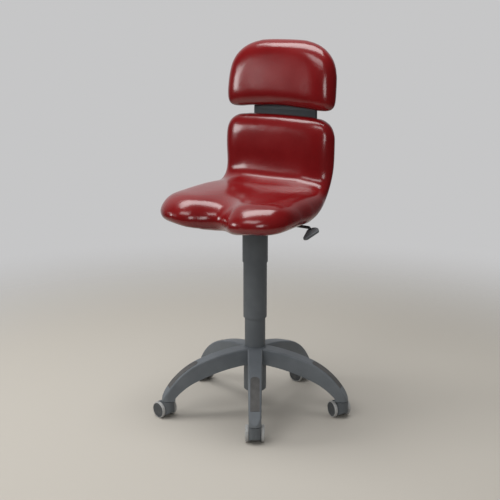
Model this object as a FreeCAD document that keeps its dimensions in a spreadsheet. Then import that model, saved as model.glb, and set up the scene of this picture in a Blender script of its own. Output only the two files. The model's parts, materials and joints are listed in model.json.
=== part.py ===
import FreeCAD, Part
import math
import os
import re
import Sketcher

# Operator stool: five-arm base on twin-wheel casters, gas lift, moulded seat and lower back, upper back pad.
# Millimetres. +Z is up, the origin is on the floor on the column axis, and the sitter faces -Y.

Vector = FreeCAD.Vector
Rotation = FreeCAD.Rotation
Placement = FreeCAD.Placement

X_AXIS = Vector(1, 0, 0)
Y_AXIS = Vector(0, 1, 0)
Z_AXIS = Vector(0, 0, 1)

# Driving dimensions
SIZES = {
    # Star base
    "arm_count": 5,
    "caster_circle": 280,
    "arm_root_reach": 28,
    "arm_root_width": 46,
    "arm_end_width": 37,
    "arm_root_top": 201,
    "arm_root_bottom": 150,
    "arm_crown_radius": 560,
    "shoulder_inset": 96,
    "shoulder_bottom": 114,
    "bend_inset": 173,
    "bend_centre_height": -28,
    "bend_radius": 211,
    "belly_radius": 520,
    "heel_radius": 190,
    "heel_top": 64,
    "arm_foot": 54.5,
    "arm_edge_round": 4.5,
    "arm_taper_margin": 8,
    "hub_radius": 35,
    "hub_top": 203,
    "hub_bottom": 60,
    "hub_bevel": 4,
    "spigot_height": 8,
    # Grip inserts on the arms
    "grip_start_inset": 94,
    "grip_end_inset": 3,
    "grip_width": 27,
    "grip_end_round": 12,
    "grip_thickness": 3,
    "grip_proud": 0.6,
    # Casters
    "wheel_radius": 25,
    "wheel_width": 9.5,
    "tyre_depth": 3,
    "tyre_bevel": 2,
    "wheel_dish": 1.2,
    "wheel_dish_radius": 15.5,
    "wheel_cover": 2.2,
    "wheel_play": 0.5,
    "trail": 16,
    "hood_width": 36,
    "hood_front_round": 16,
    "hood_back": 21,
    "hood_floor": 9,
    "hood_chin": 21,
    "hood_chin_round": 34,
    "hood_floor_start": 6.5,
    "hood_floor_end": 24.5,
    "hood_heel_round": 19,
    "hood_tail_round": 27,
    "axle_radius": 4,
    "stem_radius": 5.5,
    "stem_seat_depth": 30,
    "stem_hood_depth": 26,
    "stem_flange_radius": 16.5,
    "stem_flange": 1.4,
    # Gas lift
    "tube_radius": 25,
    "tube_wall": 2,
    "tube_taper": 1.2,
    "tube_bottom": 66,
    "tube_floor": 3,
    "tube_top": 345,
    "bush_length": 70,
    "bearing_radius": 12,
    "bearing_height": 7.8,
    "race_height": 2.2,
    "cage_inset": 1.5,
    "rod_radius": 5,
    "rod_bottom": 61,
    "groove_depth": 1,
    "clip_radius": 9,
    "clip_height": 2.4,
    "collar_radius": 9,
    "collar_height": 3,
    "buffer_radius": 12.5,
    "buffer_height": 16,
    "buffer_waist": 10,
    "piston_bottom": 302,
    "piston_height": 12,
    "cylinder_radius": 14,
    "cylinder_wall": 2,
    "cylinder_bottom": 290,
    "valve_room": 27,
    "gland_height": 7,
    "cone_height": 30,
    "cone_drop": 0.8,
    "valve_depth": 18,
    "pin_radius": 3.5,
    "pin_stroke": 4,
    # Telescopic column covers
    "lower_cover_radius": 31.85,
    "middle_cover_radius": 36.25,
    "upper_cover_radius": 38.85,
    "cover_wall": 1.6,
    "lower_cover_top": 318,
    "middle_rim": 297,
    "upper_rim": 472.5,
    "cover_lip": 6,
    "cover_flange": 4,
    "roof_gap": 3.5,
    # Seat plate and lever
    "plate_bottom": 615,
    "plate_thickness": 4,
    "plate_half_width": 82,
    "plate_half_depth": 46,
    "socket_radius": 19,
    "cone_stand": 4,
    "lever_drop": 13,
    "lever_radius": 4.5,
    "lever_inner_end": -6,
    "lever_bend_reach": 196,
    "lever_bend_radius": 5,
    "lever_foot_drop": 5.5,
    "pivot_reach": 70,
    "pivot_pin_radius": 2.5,
    "ear_half_length": 7,
    "ear_thickness": 4,
    "ear_drop": 20,
    "slot_half_width": 6.5,
    "lever_slot_gap": 3,
    "paddle_length": 64,
    "paddle_tip_radius": 9,
    "paddle_end_radius": 19,
    "paddle_thickness": 7,
    "paddle_edge_round": 2.4,
    "paddle_stem_x": 11,
    "paddle_stem_y": 4,
    "paddle_roll": -4,
    "paddle_pitch": 20,
    # Underseat cover
    "pan_half_width": 100,
    "pan_front": 96,
    "pan_back": 52,
    "pan_bottom": 588,
    "pan_wall": 2.5,
    "pan_corner": 22,
    # Seat shell
    "shell_half_width": 118,
    "shell_front": 98,
    "shell_bend": 113,
    "shell_thickness": 10,
    "shell_top": 860,
    "shell_corner": 25,
    # Seat cushion
    "half_width": 197,
    "seat_flare": 0.14,
    "edge_margin": 1.5,
    "side_round": 45,
    "side_face_share": 0.92,
    "side_rear_share": 0.38,
    "back_rear": 150,
    "back_face": 96,
    "back_top": 910,
    "back_arch": 10,
    "back_corner": 56,
    "back_edge": 34,
    "back_edge_rear": 18,
    "crest_share": 0.35,
    "edge_keep": 0.4,
    "face_crown": 4,
    "seat_bottom": 611,
    "seat_belly": 25,
    "belly_half_width": 130,
    "side_floor_share": 0.5,
    "seat_bend_start": 20,
    "seat_bend_end": 735,
    "flank_bend_run": 88,
    "flank_bend_rise": 44,
    "crease_height": 738,
    "crease_front": 58,
    "seat_rear_height": 702,
    "seat_crown": 3,
    "seat_dish": 12,
    "dish_rear_share": 0.2,
    "dish_half_width": 125,
    "lobe_front": 244,
    "lobe_corner": 92,
    "lobe_nose_share": 0.48,
    "lobe_under": 42,
    "notch_depth": 122,
    "notch_half_width": 94,
    "notch_nose_share": 0.16,
    "notch_under": 9,
    "fall_length": 84,
    "notch_fall_length": 84,
    "fall_top_height": 691,
    "fall_crown": 12,
    "notch_fall_crown": 23,
    # Upper back pad
    "back_lean": 6.5,
    "pad_half_width": 196.5,
    "pad_face_step": 3,
    "pad_bottom": 922,
    "pad_arch": 9,
    "pad_waist": 962,
    "pad_top": 1133,
    "pad_shoulder": 3.0,
    "pad_corner": 18,
    "pad_edge": 42,
    "pad_edge_rear": 18,
    "pad_edge_low": 26,
    # Back bar and carrier
    "bar_half_width": 113.5,
    "bar_thickness": 10,
    "bar_bottom": 740,
    "bar_top": 1078,
    "bar_corner": 20,
    "carrier_bottom": 968,
    "carrier_top": 1052,
    "carrier_rail": 10,
    "carrier_back": 4,
    "board_half_width": 150,
    "board_thickness": 8,
    "board_margin": 26,
    # Screws
    "screw_radius": 3,
    "screw_head_radius": 5,
    "screw_head": 4,
    "screw_bite": 8,
    "seat_screw_x": 60,
    "seat_screw_y": 34,
    "bar_screw_x": 80,
    "bar_screw_low": 765,
    "bar_screw_high": 835,
    "hole_tip": 0.5,
    # Clearances and the overrun of cuts
    "cut_margin": 2,
    "running_gap": 0.08,
    "seat_gap": 0.05,
    "moving_gap": 0.3,
    "fitted_gap": 0.2,
}

# Where each caster trails, in degrees from +X, starting with the arm that points to the rear
CASTER_HEADINGS = (180, 166, 171, 126, 153)

doc = FreeCAD.newDocument("OperatorStool")
sheet = doc.addObject("Spreadsheet::Sheet", "Sizes")
for row, (alias, number) in enumerate(SIZES.items(), start=1):
    sheet.set(f"A{row}", alias)
    sheet.set(f"B{row}", str(number))
    sheet.setAlias(f"B{row}", alias)
doc.recompute()

subparts = []


def bound(formula):
    """The formula with each size name pointing at its cell."""
    return re.sub(r"[a-z_]+", lambda word: f"Sizes.{word[0]}" if word[0] in SIZES else word[0], formula)


def value(formula):
    """The number that a formula of size names gives."""
    return float(sheet.evalExpression(bound(formula)))


def keep(feature, label):
    """Marks a document object as a finished sub-part."""
    feature.Label = label
    subparts.append(feature)
    return feature


# Sketch helpers

def new_body(label):
    return doc.addObject("PartDesign::Body", label)


def sketch_on(body, plane, offset=None):
    """An empty sketch on one of the body's own origin planes, moved along the plane's normal by a formula."""
    sketch = body.newObject("Sketcher::SketchObject", f"{body.Name}_sketch")
    support = [feature for feature in body.Origin.OriginFeatures if feature.Role == plane]
    sketch.AttachmentSupport = (support[0], [""])
    sketch.MapMode = "FlatFace"
    if offset:
        sketch.setExpression(".AttachmentOffset.Base.z", bound(offset))
    return sketch


def pin_point(sketch, geometry, point, x, y):
    """Ties a sketch point to two formulas, measured from the origin."""
    for kind, formula in (("DistanceX", x), ("DistanceY", y)):
        number = sketch.addConstraint(Sketcher.Constraint(kind, -1, 1, geometry, point, value(formula)))
        if re.search("[a-z]", formula):
            sketch.setExpression(f"Constraints[{number}]", bound(formula))


def arc_between(start, end, radius):
    """The short arc between two points; a positive radius turns left on the way, a negative one right."""
    middle = (start + end) * 0.5
    half = (end - start) * 0.5
    left = Vector(-half.y, half.x, 0).normalize()
    rise = math.sqrt(radius ** 2 - half.Length ** 2)
    centre = middle + left * math.copysign(rise, radius)
    first, last = (start, end) if radius > 0 else (end, start)
    angles = [math.atan2(point.y - centre.y, point.x - centre.x) for point in (first, last)]
    return Part.ArcOfCircle(Part.Circle(centre, Z_AXIS, abs(radius)), *angles)


def draw_outline(sketch, corners):
    """A closed outline. A corner is (x, y), or (x, y, radius) where the side that leaves it is an arc."""
    points = [Vector(value(corner[0]), value(corner[1]), 0) for corner in corners]
    starts = []
    for number, corner in enumerate(corners):
        here, after = points[number], points[(number + 1) % len(points)]
        if len(corner) == 2:
            starts.append((sketch.addGeometry(Part.LineSegment(here, after)), 1))
            continue
        radius = value(corner[2])
        side = sketch.addGeometry(arc_between(here, after, radius))
        starts.append((side, 1 if radius > 0 else 2))
        tie = sketch.addConstraint(Sketcher.Constraint("Radius", side, abs(radius)))
        sketch.setExpression(f"Constraints[{tie}]", bound(f"abs({corner[2]})"))
    for number, (side, start) in enumerate(starts):
        after, after_start = starts[(number + 1) % len(starts)]
        sketch.addConstraint(Sketcher.Constraint("Coincident", side, 3 - start, after, after_start))
        pin_point(sketch, side, start, corners[number][0], corners[number][1])


def draw_circle(sketch, x, y, radius):
    """A circle whose centre and radius follow formulas."""
    centre = Vector(value(x), value(y), 0)
    circle = sketch.addGeometry(Part.Circle(centre, Z_AXIS, value(radius)))
    pin_point(sketch, circle, 3, x, y)
    tie = sketch.addConstraint(Sketcher.Constraint("Radius", circle, value(radius)))
    sketch.setExpression(f"Constraints[{tie}]", bound(radius))


def turn(body, corners):
    """Adds a solid of revolution about Z from an outline in radius and height."""
    sketch = sketch_on(body, "XZ_Plane")
    draw_outline(sketch, corners)
    feature = body.newObject("PartDesign::Revolution", f"{body.Name}_turn")
    feature.Profile = sketch
    feature.ReferenceAxis = (sketch, ["V_Axis"])
    feature.Angle = 360
    return feature


def pad(body, plane, draw, length, symmetric=True, offset=None):
    """Adds a block of the sketch's outline, to both sides of its plane or along its normal."""
    sketch = sketch_on(body, plane, offset)
    draw(sketch)
    feature = body.newObject("PartDesign::Pad", f"{body.Name}_pad")
    feature.Profile = sketch
    feature.setExpression("Length", bound(length))
    feature.SideType = "Symmetric" if symmetric else "One side"
    return feature


def pocket(body, plane, draw, length=None, symmetric=True, offset=None, along_normal=False):
    """Cuts the sketch's outline away, through everything when it has no length."""
    sketch = sketch_on(body, plane, offset)
    draw(sketch)
    doc.recompute()
    before = body.Shape.Volume
    feature = body.newObject("PartDesign::Pocket", f"{body.Name}_pocket")
    feature.Profile = sketch
    feature.SideType = "Symmetric" if symmetric else "One side"
    feature.Reversed = along_normal
    if length:
        feature.setExpression("Length", bound(length))
    else:
        feature.Type = "ThroughAll"
    doc.recompute()
    if body.Shape.Volume >= before:
        raise RuntimeError(f"{body.Name}: a pocket cuts nothing")
    return feature


def round_edges(body, radius, wanted):
    """Rounds the edges of the body that the test picks."""
    doc.recompute()
    base = body.Tip
    names = [f"Edge{number}" for number, edge in enumerate(base.Shape.Edges, start=1) if wanted(edge)]
    if not names:
        raise RuntimeError(f"{body.Name}: no edge to round")
    feature = body.newObject("PartDesign::Fillet", f"{body.Name}_round")
    feature.Base = (base, names)
    feature.setExpression("Radius", bound(radius))
    doc.recompute()
    if not feature.isValid():
        raise RuntimeError(f"{body.Name}: its edges can't be rounded")
    return feature


def runs_along(edge, axis):
    """True where a straight edge lies along an axis."""
    if edge.Curve.TypeId != "Part::GeomLine":
        return False
    return abs(edge.Curve.Direction.dot(axis)) > 0.999


def near(one, other, slack=0.05):
    return abs(one - other) < slack


def rectangle(left, bottom, right, top):
    return [(left, bottom), (right, bottom), (right, top), (left, top)]


def rounded_rectangle(left, bottom, right, top, radius):
    """A rectangle with quarter rounds, drawn anticlockwise."""
    return [
        (f"{left} + {radius}", bottom),
        (f"{right} - {radius}", bottom, radius),
        (right, f"{bottom} + {radius}"),
        (right, f"{top} - {radius}", radius),
        (f"{right} - {radius}", top),
        (f"{left} + {radius}", top, radius),
        (left, f"{top} - {radius}"),
        (left, f"{bottom} + {radius}", radius),
    ]


def copies(label, master, placements):
    """One sub-part made of several alike, separate solids."""
    feature = doc.addObject("Part::Feature", label)
    shapes = []
    for place in placements:
        shape = master.Shape.copy()
        shape.Placement = place.multiply(shape.Placement)
        shapes.append(shape)
    feature.Shape = Part.makeCompound(shapes)
    return keep(feature, label)


# Star base

BEND_HEIGHT = "bend_centre_height + sqrt(({radius})^2 - ({reach} - (caster_circle - bend_inset))^2)"
SHOULDER = "(caster_circle - shoulder_inset)"
GRIP_START = "(caster_circle - grip_start_inset)"
GRIP_END = "(caster_circle - grip_end_inset)"
ARM_TIP = "(caster_circle + arm_end_width / 2)"
ARM_HEEL = "(caster_circle - arm_end_width / 2)"


UPWARD = 0.3


def middle_of(face):
    """The middle of a face in its own parameters."""
    u_start, u_end, v_start, v_end = face.ParameterRange
    return (u_start + u_end) / 2, (v_start + v_end) / 2


def halfway(edge):
    """The point in the middle of an edge's parameters."""
    return edge.valueAt((edge.FirstParameter + edge.LastParameter) / 2)


def bend_height(reach, radius="bend_radius"):
    """The height at a reach on a circle about the centre of the arm's outer bend."""
    return BEND_HEIGHT.format(reach=reach, radius=radius)


def make_arm():
    """One arm, pointing to +Y, with the socket of its caster."""
    body = new_body("arm")
    side = [
        ("arm_root_reach", "arm_root_bottom"),
        ("arm_root_reach", "arm_root_top", "-arm_crown_radius"),
        (SHOULDER, bend_height(SHOULDER), "-bend_radius"),
        (ARM_TIP, bend_height(ARM_TIP)),
        (ARM_TIP, "arm_foot"),
        (ARM_HEEL, "arm_foot"),
        (ARM_HEEL, "heel_top", "heel_radius"),
        (SHOULDER, "shoulder_bottom", "belly_radius"),
    ]
    pad(body, "YZ_Plane", lambda sketch: draw_outline(sketch, side), "arm_root_width")
    taper_start = "(hub_radius + arm_taper_margin)"
    outside = "(arm_root_width + cut_margin)"
    for sign, turn_way in (("", ""), ("-", "-")):
        waste = [
            (f"{sign}arm_root_width / 2", taper_start),
            (f"{sign}arm_end_width / 2", "caster_circle", f"{turn_way}arm_end_width / 2"),
            ("0", ARM_TIP),
            ("0", f"{ARM_TIP} + cut_margin"),
            (f"{sign}{outside}", f"{ARM_TIP} + cut_margin"),
            (f"{sign}{outside}", taper_start),
        ]
        pocket(body, "XY_Plane", lambda sketch: draw_outline(sketch, waste))
    doc.recompute()
    upper_faces = [face for face in body.Shape.Faces if face.normalAt(*middle_of(face)).z > UPWARD]
    upper_middles = [halfway(edge) for face in upper_faces for edge in face.Edges]

    def outer_edge(edge):
        middle = halfway(edge)
        crosses = near(middle.x, 0) or middle.y < value("hub_radius")
        return not crosses and any(near(middle.distanceToPoint(other), 0) for other in upper_middles)

    round_edges(body, "arm_edge_round", outer_edge)
    pocket(body, "XY_Plane",
           lambda sketch: draw_circle(sketch, "0", "caster_circle", "stem_radius + running_gap"),
           "stem_seat_depth + cut_margin", symmetric=False, offset="arm_foot", along_normal=True)
    doc.recompute()
    return body


def grip_outline(gap):
    """The side outline of a grip insert, which follows the arm's outer bend, grown by a gap."""
    start, end = f"({GRIP_START} - {gap})", f"({GRIP_END} + {gap})"
    lower, upper = f"bend_radius - grip_thickness - {gap}", "bend_radius + grip_proud"
    return [
        (start, bend_height(start, lower)),
        (start, bend_height(start, upper), f"-({upper})"),
        (end, bend_height(end, upper)),
        (end, bend_height(end, lower), lower),
    ]


def make_grip(label, gap):
    """A grip insert, or with a gap the seat that it lies in."""
    body = new_body(label)
    pad(body, "YZ_Plane", lambda sketch: draw_outline(sketch, grip_outline(gap)), f"grip_width + 2 * {gap}")
    half, corner = f"(grip_width / 2 + {gap})", f"(grip_end_round + {gap})"
    start = f"({GRIP_START} - {gap})"
    for sign, turn_way in (("", "-"), ("-", "")):
        waste = [
            (f"{sign}{half}", f"{start} + {corner}", f"{turn_way}{corner}"),
            (f"{sign}({half} - {corner})", start),
            (f"{sign}({half} - {corner})", f"{start} - {corner}"),
            (f"{sign}({half} + {corner})", f"{start} - {corner}"),
            (f"{sign}({half} + {corner})", f"{start} + {corner}"),
        ]
        pocket(body, "XY_Plane", lambda sketch: draw_outline(sketch, waste))
    return body


def make_hub():
    """The hub with its tapered bore, and the spigot that centres the lowest cover."""
    body = new_body("hub")
    bore = "(tube_radius + seat_gap)"
    taper = "tube_taper * (hub_top - hub_bottom) / (hub_top - tube_bottom)"
    spigot = "(lower_cover_radius - cover_wall - fitted_gap)"
    turn(body, [
        (f"{bore} - {taper}", "hub_bottom"),
        ("hub_radius - hub_bevel", "hub_bottom"),
        ("hub_radius", "hub_bottom + hub_bevel"),
        ("hub_radius", "hub_top"),
        (spigot, "hub_top"),
        (spigot, "hub_top + spigot_height"),
        (bore, "hub_top + spigot_height"),
        (bore, "hub_top"),
    ])
    doc.recompute()
    return body


def arm_angle(number):
    """Arms stand at equal angles about Z; the first points to +Y."""
    return 360 / value("arm_count") * number


def make_star_base():
    hub = make_hub()
    arm = make_arm()
    grip = make_grip("grip_insert", "0")
    grip_seat = make_grip("grip_seat", "fitted_gap")
    arm_shape = arm.Shape.cut(grip_seat.Shape)
    arm_numbers = range(int(value("arm_count")))
    turns = [Placement(Vector(), Rotation(Z_AXIS, arm_angle(number))) for number in arm_numbers]
    arms = []
    for place in turns:
        shape = arm_shape.copy()
        shape.Placement = place
        arms.append(shape)
    base = doc.addObject("Part::Feature", "star_base")
    base.Shape = hub.Shape.fuse(arms).removeSplitter()
    keep(base, "star_base")
    copies("grip_inserts", grip, turns)


# Casters

HOOD_TOP = "(arm_foot - moving_gap - stem_flange)"
WHEEL_INSIDE = "(hood_width / 2 + wheel_play)"


def make_hood(label):
    """The body between the wheels: a round front under the arm, and a tail that carries the axle."""
    body = new_body(label)
    tail = "(trail + hood_back)"
    side = [
        ("-arm_end_width / 2", "hood_chin", "hood_chin_round"),
        ("hood_floor_start", "hood_floor"),
        ("hood_floor_end", "hood_floor", "hood_heel_round"),
        (tail, "wheel_radius", "hood_tail_round"),
        ("arm_end_width / 2", HOOD_TOP),
        ("-arm_end_width / 2", HOOD_TOP),
    ]
    pad(body, "YZ_Plane", lambda sketch: draw_outline(sketch, side), "hood_width")
    front = value("-arm_end_width / 2")
    round_edges(body, "hood_front_round",
                lambda edge: runs_along(edge, Z_AXIS) and near(edge.CenterOfMass.y, front))
    pocket(body, "XY_Plane", lambda sketch: draw_circle(sketch, "0", "0", "stem_radius + seat_gap"),
           "stem_hood_depth", symmetric=False, offset=HOOD_TOP)
    pocket(body, "YZ_Plane",
           lambda sketch: draw_circle(sketch, "trail", "wheel_radius", "axle_radius + seat_gap"))
    return body


def make_stem(label):
    """The swivel pin, with the flange that parts the hood from the arm."""
    body = new_body(label)
    turn(body, [
        ("0", f"{HOOD_TOP} - stem_hood_depth + hole_tip"),
        ("stem_radius", f"{HOOD_TOP} - stem_hood_depth + hole_tip"),
        ("stem_radius", HOOD_TOP),
        ("stem_flange_radius", HOOD_TOP),
        ("stem_flange_radius", f"{HOOD_TOP} + stem_flange"),
        ("stem_radius", f"{HOOD_TOP} + stem_flange"),
        ("stem_radius", "arm_foot + stem_seat_depth"),
        ("0", "arm_foot + stem_seat_depth"),
    ])
    return body


def make_axle(label):
    body = new_body(label)
    reach = f"({WHEEL_INSIDE} + wheel_width - wheel_cover - wheel_dish / 2 - moving_gap)"
    turn(body, rectangle("0", f"-{reach}", "axle_radius", reach))
    return body


def make_wheel(label):
    """A wheel disc from its inner face, with a blind bore and a slightly dished outer face."""
    body = new_body(label)
    rim = "(wheel_radius - tyre_depth - seat_gap)"
    bore = "(axle_radius + running_gap)"
    turn(body, [
        (bore, "0"),
        (rim, "0"),
        (rim, "wheel_width - tyre_bevel / 2"),
        ("wheel_dish_radius", "wheel_width - wheel_dish"),
        ("0", "wheel_width - wheel_dish"),
        ("0", "wheel_width - wheel_cover - wheel_dish / 2"),
        (bore, "wheel_width - wheel_cover - wheel_dish / 2"),
    ])
    return body


def make_tyre(label):
    body = new_body(label)
    turn(body, [
        ("wheel_radius - tyre_depth", "0"),
        ("wheel_radius - tyre_bevel / 2", "0"),
        ("wheel_radius", "tyre_bevel / 2"),
        ("wheel_radius", "wheel_width - tyre_bevel"),
        ("wheel_radius - tyre_bevel", "wheel_width"),
        ("wheel_radius - tyre_depth", "wheel_width"),
    ])
    return body


def caster_place(number):
    """The floor point under a stem, turned so that +Y is the way the wheels trail."""
    angle = math.radians(90 + arm_angle(number))
    reach = value("caster_circle")
    point = Vector(reach * math.cos(angle), reach * math.sin(angle), 0)
    return Placement(point, Rotation(Z_AXIS, CASTER_HEADINGS[number] - 90))


def make_caster(number):
    name = f"caster_{number + 1}"
    place = caster_place(number)
    axle_middle = Vector(0, value("trail"), value("wheel_radius"))
    along_axle = Placement(axle_middle, Rotation(Y_AXIS, 90))
    for label, make in ((f"{name}_hood", make_hood), (f"{name}_stem", make_stem)):
        keep(make(label), label).Placement = place
    keep(make_axle(f"{name}_axle"), f"{name}_axle").Placement = place.multiply(along_axle)
    for side, sign in (("left", -1), ("right", 1)):
        inner_point = axle_middle + X_AXIS * (sign * value(WHEEL_INSIDE))
        inner_face = Placement(inner_point, Rotation(Y_AXIS, 90 * sign))
        for piece, make in (("wheel", make_wheel), ("tyre", make_tyre)):
            label = f"{name}_{side}_{piece}"
            keep(make(label), label).Placement = place.multiply(inner_face)


# Heights that hang from the seat plate

LEVER_HEIGHT = "(plate_bottom - lever_drop)"
LEVER_FOOT = f"({LEVER_HEIGHT} - lever_foot_drop)"
COVER_ROOF = f"({LEVER_HEIGHT} - lever_radius - roof_gap)"
CYLINDER_TOP = "(plate_bottom - valve_room)"

# Gas lift

TUBE_INSIDE = "(tube_radius - tube_wall)"
BEARING_SEAT = "(tube_bottom + tube_floor)"
COLLAR_BOTTOM = f"({BEARING_SEAT} + bearing_height + moving_gap)"
COLLAR_TOP = f"({COLLAR_BOTTOM} + collar_height)"
CLIP_TOP = "(tube_bottom - moving_gap)"


def make_gas_lift():
    stand_tube = keep(new_body("stand_tube"), "stand_tube")
    turn(stand_tube, [
        ("rod_radius + moving_gap", "tube_bottom"),
        ("tube_radius - tube_taper", "tube_bottom"),
        ("tube_radius", "hub_top"),
        ("tube_radius", "tube_top"),
        (TUBE_INSIDE, "tube_top"),
        (TUBE_INSIDE, "hub_top"),
        (f"{TUBE_INSIDE} - tube_taper", BEARING_SEAT),
        ("rod_radius + moving_gap", BEARING_SEAT),
    ])
    guide_bush = keep(new_body("guide_bush"), "guide_bush")
    bush_outside = f"({TUBE_INSIDE} - seat_gap)"
    bush_inside = "(cylinder_radius + running_gap)"
    turn(guide_bush, [
        (bush_inside, "tube_top - bush_length"),
        (bush_outside, "tube_top - bush_length"),
        (bush_outside, "tube_top"),
        (bush_inside, "tube_top"),
    ])
    thrust_bearing = keep(new_body("thrust_bearing"), "thrust_bearing")
    cage = "(bearing_radius - cage_inset)"
    turn(thrust_bearing, [
        ("rod_radius + running_gap", BEARING_SEAT),
        ("bearing_radius", BEARING_SEAT),
        ("bearing_radius", f"{BEARING_SEAT} + race_height"),
        (cage, f"{BEARING_SEAT} + race_height"),
        (cage, f"{BEARING_SEAT} + bearing_height - race_height"),
        ("bearing_radius", f"{BEARING_SEAT} + bearing_height - race_height"),
        ("bearing_radius", f"{BEARING_SEAT} + bearing_height"),
        ("rod_radius + running_gap", f"{BEARING_SEAT} + bearing_height"),
    ])
    groove = "(rod_radius - groove_depth)"
    piston_rod = keep(new_body("piston_rod"), "piston_rod")
    piston = "(cylinder_radius - cylinder_wall - running_gap)"
    turn(piston_rod, [
        ("0", "rod_bottom"),
        ("rod_radius", "rod_bottom"),
        ("rod_radius", f"{CLIP_TOP} - clip_height"),
        (groove, f"{CLIP_TOP} - clip_height"),
        (groove, CLIP_TOP),
        ("rod_radius", CLIP_TOP),
        ("rod_radius", COLLAR_BOTTOM),
        ("collar_radius", COLLAR_BOTTOM),
        ("collar_radius", COLLAR_TOP),
        ("rod_radius", COLLAR_TOP),
        ("rod_radius", "piston_bottom"),
        (piston, "piston_bottom"),
        (piston, "piston_bottom + piston_height"),
        ("0", "piston_bottom + piston_height"),
    ])
    retaining_clip = keep(new_body("retaining_clip"), "retaining_clip")
    clip_inside = f"({groove} + seat_gap)"
    turn(retaining_clip, [
        (clip_inside, f"{CLIP_TOP} - clip_height + seat_gap"),
        ("clip_radius", f"{CLIP_TOP} - clip_height + seat_gap"),
        ("clip_radius", f"{CLIP_TOP} - seat_gap"),
        (clip_inside, f"{CLIP_TOP} - seat_gap"),
    ])
    rubber_buffer = keep(new_body("rubber_buffer"), "rubber_buffer")
    buffer_inside = "(rod_radius + seat_gap)"
    turn(rubber_buffer, [
        (buffer_inside, COLLAR_TOP),
        ("buffer_radius", COLLAR_TOP),
        ("buffer_waist", f"{COLLAR_TOP} + buffer_height / 2"),
        ("buffer_radius", f"{COLLAR_TOP} + buffer_height"),
        (buffer_inside, f"{COLLAR_TOP} + buffer_height"),
    ])
    gas_cylinder = keep(new_body("gas_cylinder"), "gas_cylinder")
    cylinder_inside = "(cylinder_radius - cylinder_wall)"
    cone_bottom = f"({CYLINDER_TOP} - cone_height)"
    pin_hole = "(pin_radius + running_gap)"
    turn(gas_cylinder, [
        ("rod_radius + running_gap", "cylinder_bottom"),
        ("cylinder_radius", "cylinder_bottom"),
        ("cylinder_radius", cone_bottom),
        ("cylinder_radius - cone_drop", CYLINDER_TOP),
        (pin_hole, CYLINDER_TOP),
        (pin_hole, f"{CYLINDER_TOP} - valve_depth"),
        ("0", f"{CYLINDER_TOP} - valve_depth"),
        ("0", cone_bottom),
        (cylinder_inside, cone_bottom),
        (cylinder_inside, "cylinder_bottom + gland_height"),
        ("rod_radius + running_gap", "cylinder_bottom + gland_height"),
    ])
    release_pin = keep(new_body("release_pin"), "release_pin")
    pin_top = f"({LEVER_HEIGHT} - lever_radius - moving_gap)"
    pin_bottom = f"({CYLINDER_TOP} - valve_depth + pin_stroke)"
    turn(release_pin, rectangle("0", pin_bottom, "pin_radius", pin_top))


# Telescopic covers: each one hangs on the lip of the one above it

def make_covers():
    lower = keep(new_body("cover_lower"), "cover_lower")
    middle_inside = "(middle_cover_radius - cover_wall)"
    upper_inside = "(upper_cover_radius - cover_wall)"
    lower_inside = "(lower_cover_radius - cover_wall)"
    lower_flange = f"({middle_inside} - moving_gap)"
    turn(lower, [
        (lower_inside, "hub_top"),
        ("lower_cover_radius", "hub_top"),
        ("lower_cover_radius", "lower_cover_top - cover_flange"),
        (lower_flange, "lower_cover_top - cover_flange"),
        (lower_flange, "lower_cover_top"),
        (lower_inside, "lower_cover_top"),
    ])
    middle = keep(new_body("cover_middle"), "cover_middle")
    middle_lip = "(lower_cover_radius + moving_gap)"
    middle_flange = f"({upper_inside} - moving_gap)"
    hang = "(upper_rim + cover_lip + moving_gap)"
    turn(middle, [
        (middle_lip, "middle_rim"),
        ("middle_cover_radius", "middle_rim"),
        ("middle_cover_radius", hang),
        (middle_flange, hang),
        (middle_flange, f"{hang} + cover_flange"),
        (middle_inside, f"{hang} + cover_flange"),
        (middle_inside, "middle_rim + cover_lip"),
        (middle_lip, "middle_rim + cover_lip"),
    ])
    upper = keep(new_body("cover_upper"), "cover_upper")
    upper_lip = "(middle_cover_radius + moving_gap)"
    collar = "(socket_radius + seat_gap)"
    turn(upper, [
        (upper_lip, "upper_rim"),
        ("upper_cover_radius", "upper_rim"),
        ("upper_cover_radius", COVER_ROOF),
        (collar, COVER_ROOF),
        (collar, f"{COVER_ROOF} - cover_wall"),
        (upper_inside, f"{COVER_ROOF} - cover_wall"),
        (upper_inside, "upper_rim + cover_lip"),
        (upper_lip, "upper_rim + cover_lip"),
    ])


# Seat plate, lever and underseat cover

PLATE_TOP = "(plate_bottom + plate_thickness)"


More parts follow.
